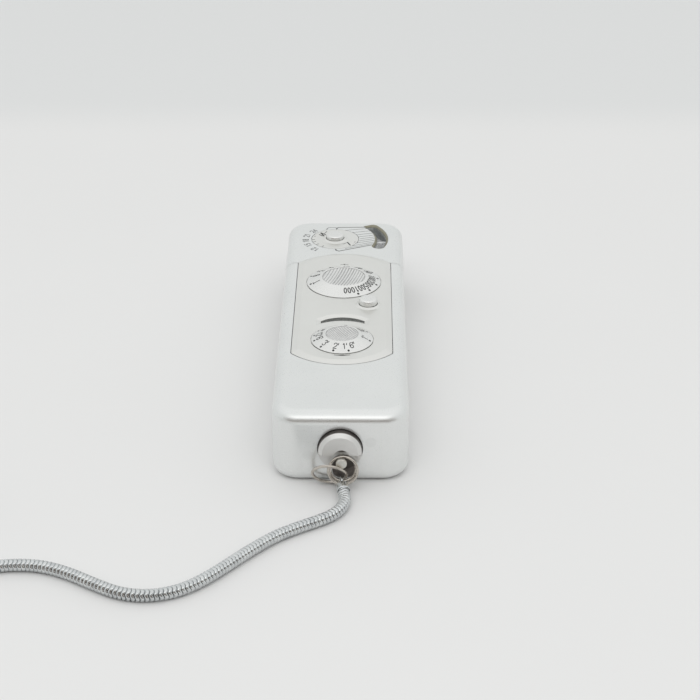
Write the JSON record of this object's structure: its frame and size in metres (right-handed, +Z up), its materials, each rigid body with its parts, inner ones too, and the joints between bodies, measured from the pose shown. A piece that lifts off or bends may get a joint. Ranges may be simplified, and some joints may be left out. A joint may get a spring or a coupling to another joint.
{
  "type": "subminiature camera",
  "caption": "Pull-apart subminiature camera: satin metal casing, two dials, release button, light meter, and a fine measuring chain on a plug in its end.",
  "frame": {"origin": "middle of the flat underside of the closed camera", "axes": "+Y along the camera towards the meter end, +Z up out of the face with the dials, +X towards the lens side"},
  "size_m": [0.1283, 0.1407, 0.0181],
  "materials": {
    "satin_aluminium": "fine satin anodised",
    "bright_metal": "polished nickel",
    "chain_steel": "polished, fine links",
    "brushed_steel": "brushed",
    "spring_steel": "blued",
    "brass": "machined",
    "bronze": "rolled strip",
    "black_metal": "matt black",
    "clear_glass": "clear",
    "coated_glass": "coated",
    "filter_glass": "green and orange filters",
    "clear_plastic": "clear moulded",
    "black_plastic": "moulded",
    "white_scale": "grey scale paint",
    "counter_paint": "black with white figures",
    "selenium": "selenium on a steel plate",
    "magnet": "ground",
    "copper": "enamelled copper wire",
    "film": "film base",
    "cassette": "moulded"
  },
  "bodies": {
    "sliding_shell": {"sliding_shell": "satin_aluminium", "chain_socket": "black_metal", "chain_plug": "satin_aluminium", "chain_stud": "brushed_steel", "split_ring": "bright_metal", "jump_ring": "bright_metal", "chain_end_cap": "bright_metal", "chain": "chain_steel", "chain_coil": "chain_steel", "chain_far_cap": "bright_metal", "transport_rack": "brass", "guide_strips": "bronze"},
    "camera_body": {"meter_housing": "satin_aluminium", "honeycomb_frame": "satin_aluminium", "honeycomb_lens": "clear_plastic", "selenium_cell": "selenium", "casing_screws": "brushed_steel", "chassis": "brushed_steel", "deck_plate": "brushed_steel", "control_plate": "satin_aluminium", "counter_window": "clear_glass", "meter_window": "clear_glass", "meter_scale": "white_scale", "release_spring": "spring_steel", "meter_button_spring": "spring_steel", "meter_magnet": "magnet", "meter_bridge": "black_plastic", "lens_window": "clear_glass", "finder_front_lens": "clear_glass", "finder_eyepiece": "clear_glass", "finder_tube": "black_metal", "shutter_base": "black_metal", "blade_pivot": "brushed_steel", "film_cassette": "cassette", "pinion_shaft": "brushed_steel", "film_strip": "film", "pressure_plate": "black_metal", "pressure_spring": "spring_steel"},
    "shutter_dial": {"shutter_dial": "satin_aluminium", "shutter_dial_grip": "satin_aluminium", "shutter_cam": "brass"},
    "distance_dial": {"distance_dial": "satin_aluminium", "distance_dial_grip": "satin_aluminium", "focus_cam": "brass"},
    "counter_disc": {"counter_disc": "counter_paint"},
    "release_button": {"release_button": "satin_aluminium"},
    "shutter_blade": {"shutter_blade": "spring_steel"},
    "lens_carriage": {"lens_carriage": "black_metal", "lens_glasses": "coated_glass"},
    "filter_slide": {"filter_slide": "black_metal", "filter_glasses": "filter_glass"},
    "speed_disc": {"speed_disc": "satin_aluminium"},
    "meter_button": {"meter_button": "satin_aluminium"},
    "meter_movement": {"meter_needle": "satin_aluminium", "moving_coil": "copper"},
    "transport_pinion": {"transport_pinion": "brass"},
    "take_up_spool": {"take_up_spool": "film", "take_up_gear": "brass"},
    "supply_spool": {"supply_spool": "film"},
    "chamber_catch": {"chamber_catch": "brushed_steel"}
  },
  "joints": [
    {"name": "body_slide", "type": "slide", "parent": "sliding_shell", "child": "camera_body", "axis": [0, 1, 0], "range_m": [0, 0.025]},
    {"name": "shutter_dial_turn", "type": "hinge", "parent": "camera_body", "child": "shutter_dial", "pos_m": [0, 0.01215, 0.016], "axis": [0, 0, 1], "range_deg": [-98, 146]},
    {"name": "distance_dial_turn", "type": "hinge", "parent": "camera_body", "child": "distance_dial", "pos_m": [0, -0.0169, 0.016], "axis": [0, 0, 1], "range_deg": [-185, 124]},
    {"name": "lens_focus", "type": "slide", "parent": "camera_body", "child": "lens_carriage", "axis": [1, 0, 0], "range_m": [-0.00048, 0.00072]},
    {"name": "release_press", "type": "slide", "parent": "camera_body", "child": "release_button", "axis": [0, 0, 1], "range_m": [-0.0008, 0], "stiffness_N_per_m": 1200, "springref_m": 0.0003, "deforming": ["release_spring"]},
    {"name": "shutter_blade_swing", "type": "hinge", "parent": "camera_body", "child": "shutter_blade", "pos_m": [0.01, 0.0066, 0.0046], "axis": [1, 0, 0], "range_deg": [-55.5, 0]},
    {"name": "counter_turn", "type": "hinge", "parent": "camera_body", "child": "counter_disc", "pos_m": [0, -0.0169, 0.01435], "axis": [0, 0, 1], "range_deg": [0, 7.3]},
    {"name": "filter_select", "type": "slide", "parent": "camera_body", "child": "filter_slide", "axis": [0, -1, 0], "range_m": [0, 0.0128]},
    {"name": "film_speed_turn", "type": "hinge", "parent": "camera_body", "child": "speed_disc", "pos_m": [-0.00245, 0.0376, 0.016], "axis": [0, 0, 1], "range_deg": [-35, 105]},
    {"name": "meter_button_press", "type": "slide", "parent": "camera_body", "child": "meter_button", "axis": [0, 0, 1], "range_m": [-0.0008, 0], "stiffness_N_per_m": 1000, "springref_m": 0.0003, "deforming": ["meter_button_spring"]},
    {"name": "needle_swing", "type": "hinge", "parent": "camera_body", "child": "meter_movement", "pos_m": [-0.0031, 0.0377, 0.011], "axis": [0, 0, 1], "range_deg": [-25, 29], "stiffness_Nm_per_rad": 0.000005},
    {"name": "pinion_turn", "type": "hinge", "parent": "camera_body", "child": "transport_pinion", "pos_m": [-0.00895, -0.01586, 0.0027], "axis": [0, 0, 1], "range_deg": [0, 477.6]},
    {"name": "take_up_turn", "type": "hinge", "parent": "camera_body", "child": "take_up_spool", "pos_m": [-0.0068, -0.0092, 0.008], "axis": [0, 0, 1], "range_deg": [-358.2, 0]},
    {"name": "supply_turn", "type": "hinge", "parent": "camera_body", "child": "supply_spool", "pos_m": [-0.0068, 0.0132, 0.008], "axis": [0, 0, 1], "range_deg": [-358.2, 0]},
    {"name": "catch_press", "type": "slide", "parent": "sliding_shell", "child": "chamber_catch", "axis": [0, 0, 1], "range_m": [0, 0.0005], "stiffness_N_per_m": 900, "springref_m": -0.0003}
  ],
  "couplings": [
    {"joint": "distance_dial_turn", "follows": "lens_focus", "rad_per_m": -4484.3},
    {"joint": "shutter_blade_swing", "follows": "release_press", "rad_per_m": 1200},
    {"joint": "counter_turn", "follows": "body_slide", "rad_per_m": 5.0265},
    {"joint": "pinion_turn", "follows": "body_slide", "rad_per_m": 333.33},
    {"joint": "take_up_turn", "follows": "body_slide", "rad_per_m": -250},
    {"joint": "supply_turn", "follows": "body_slide", "rad_per_m": -250}
  ]
}
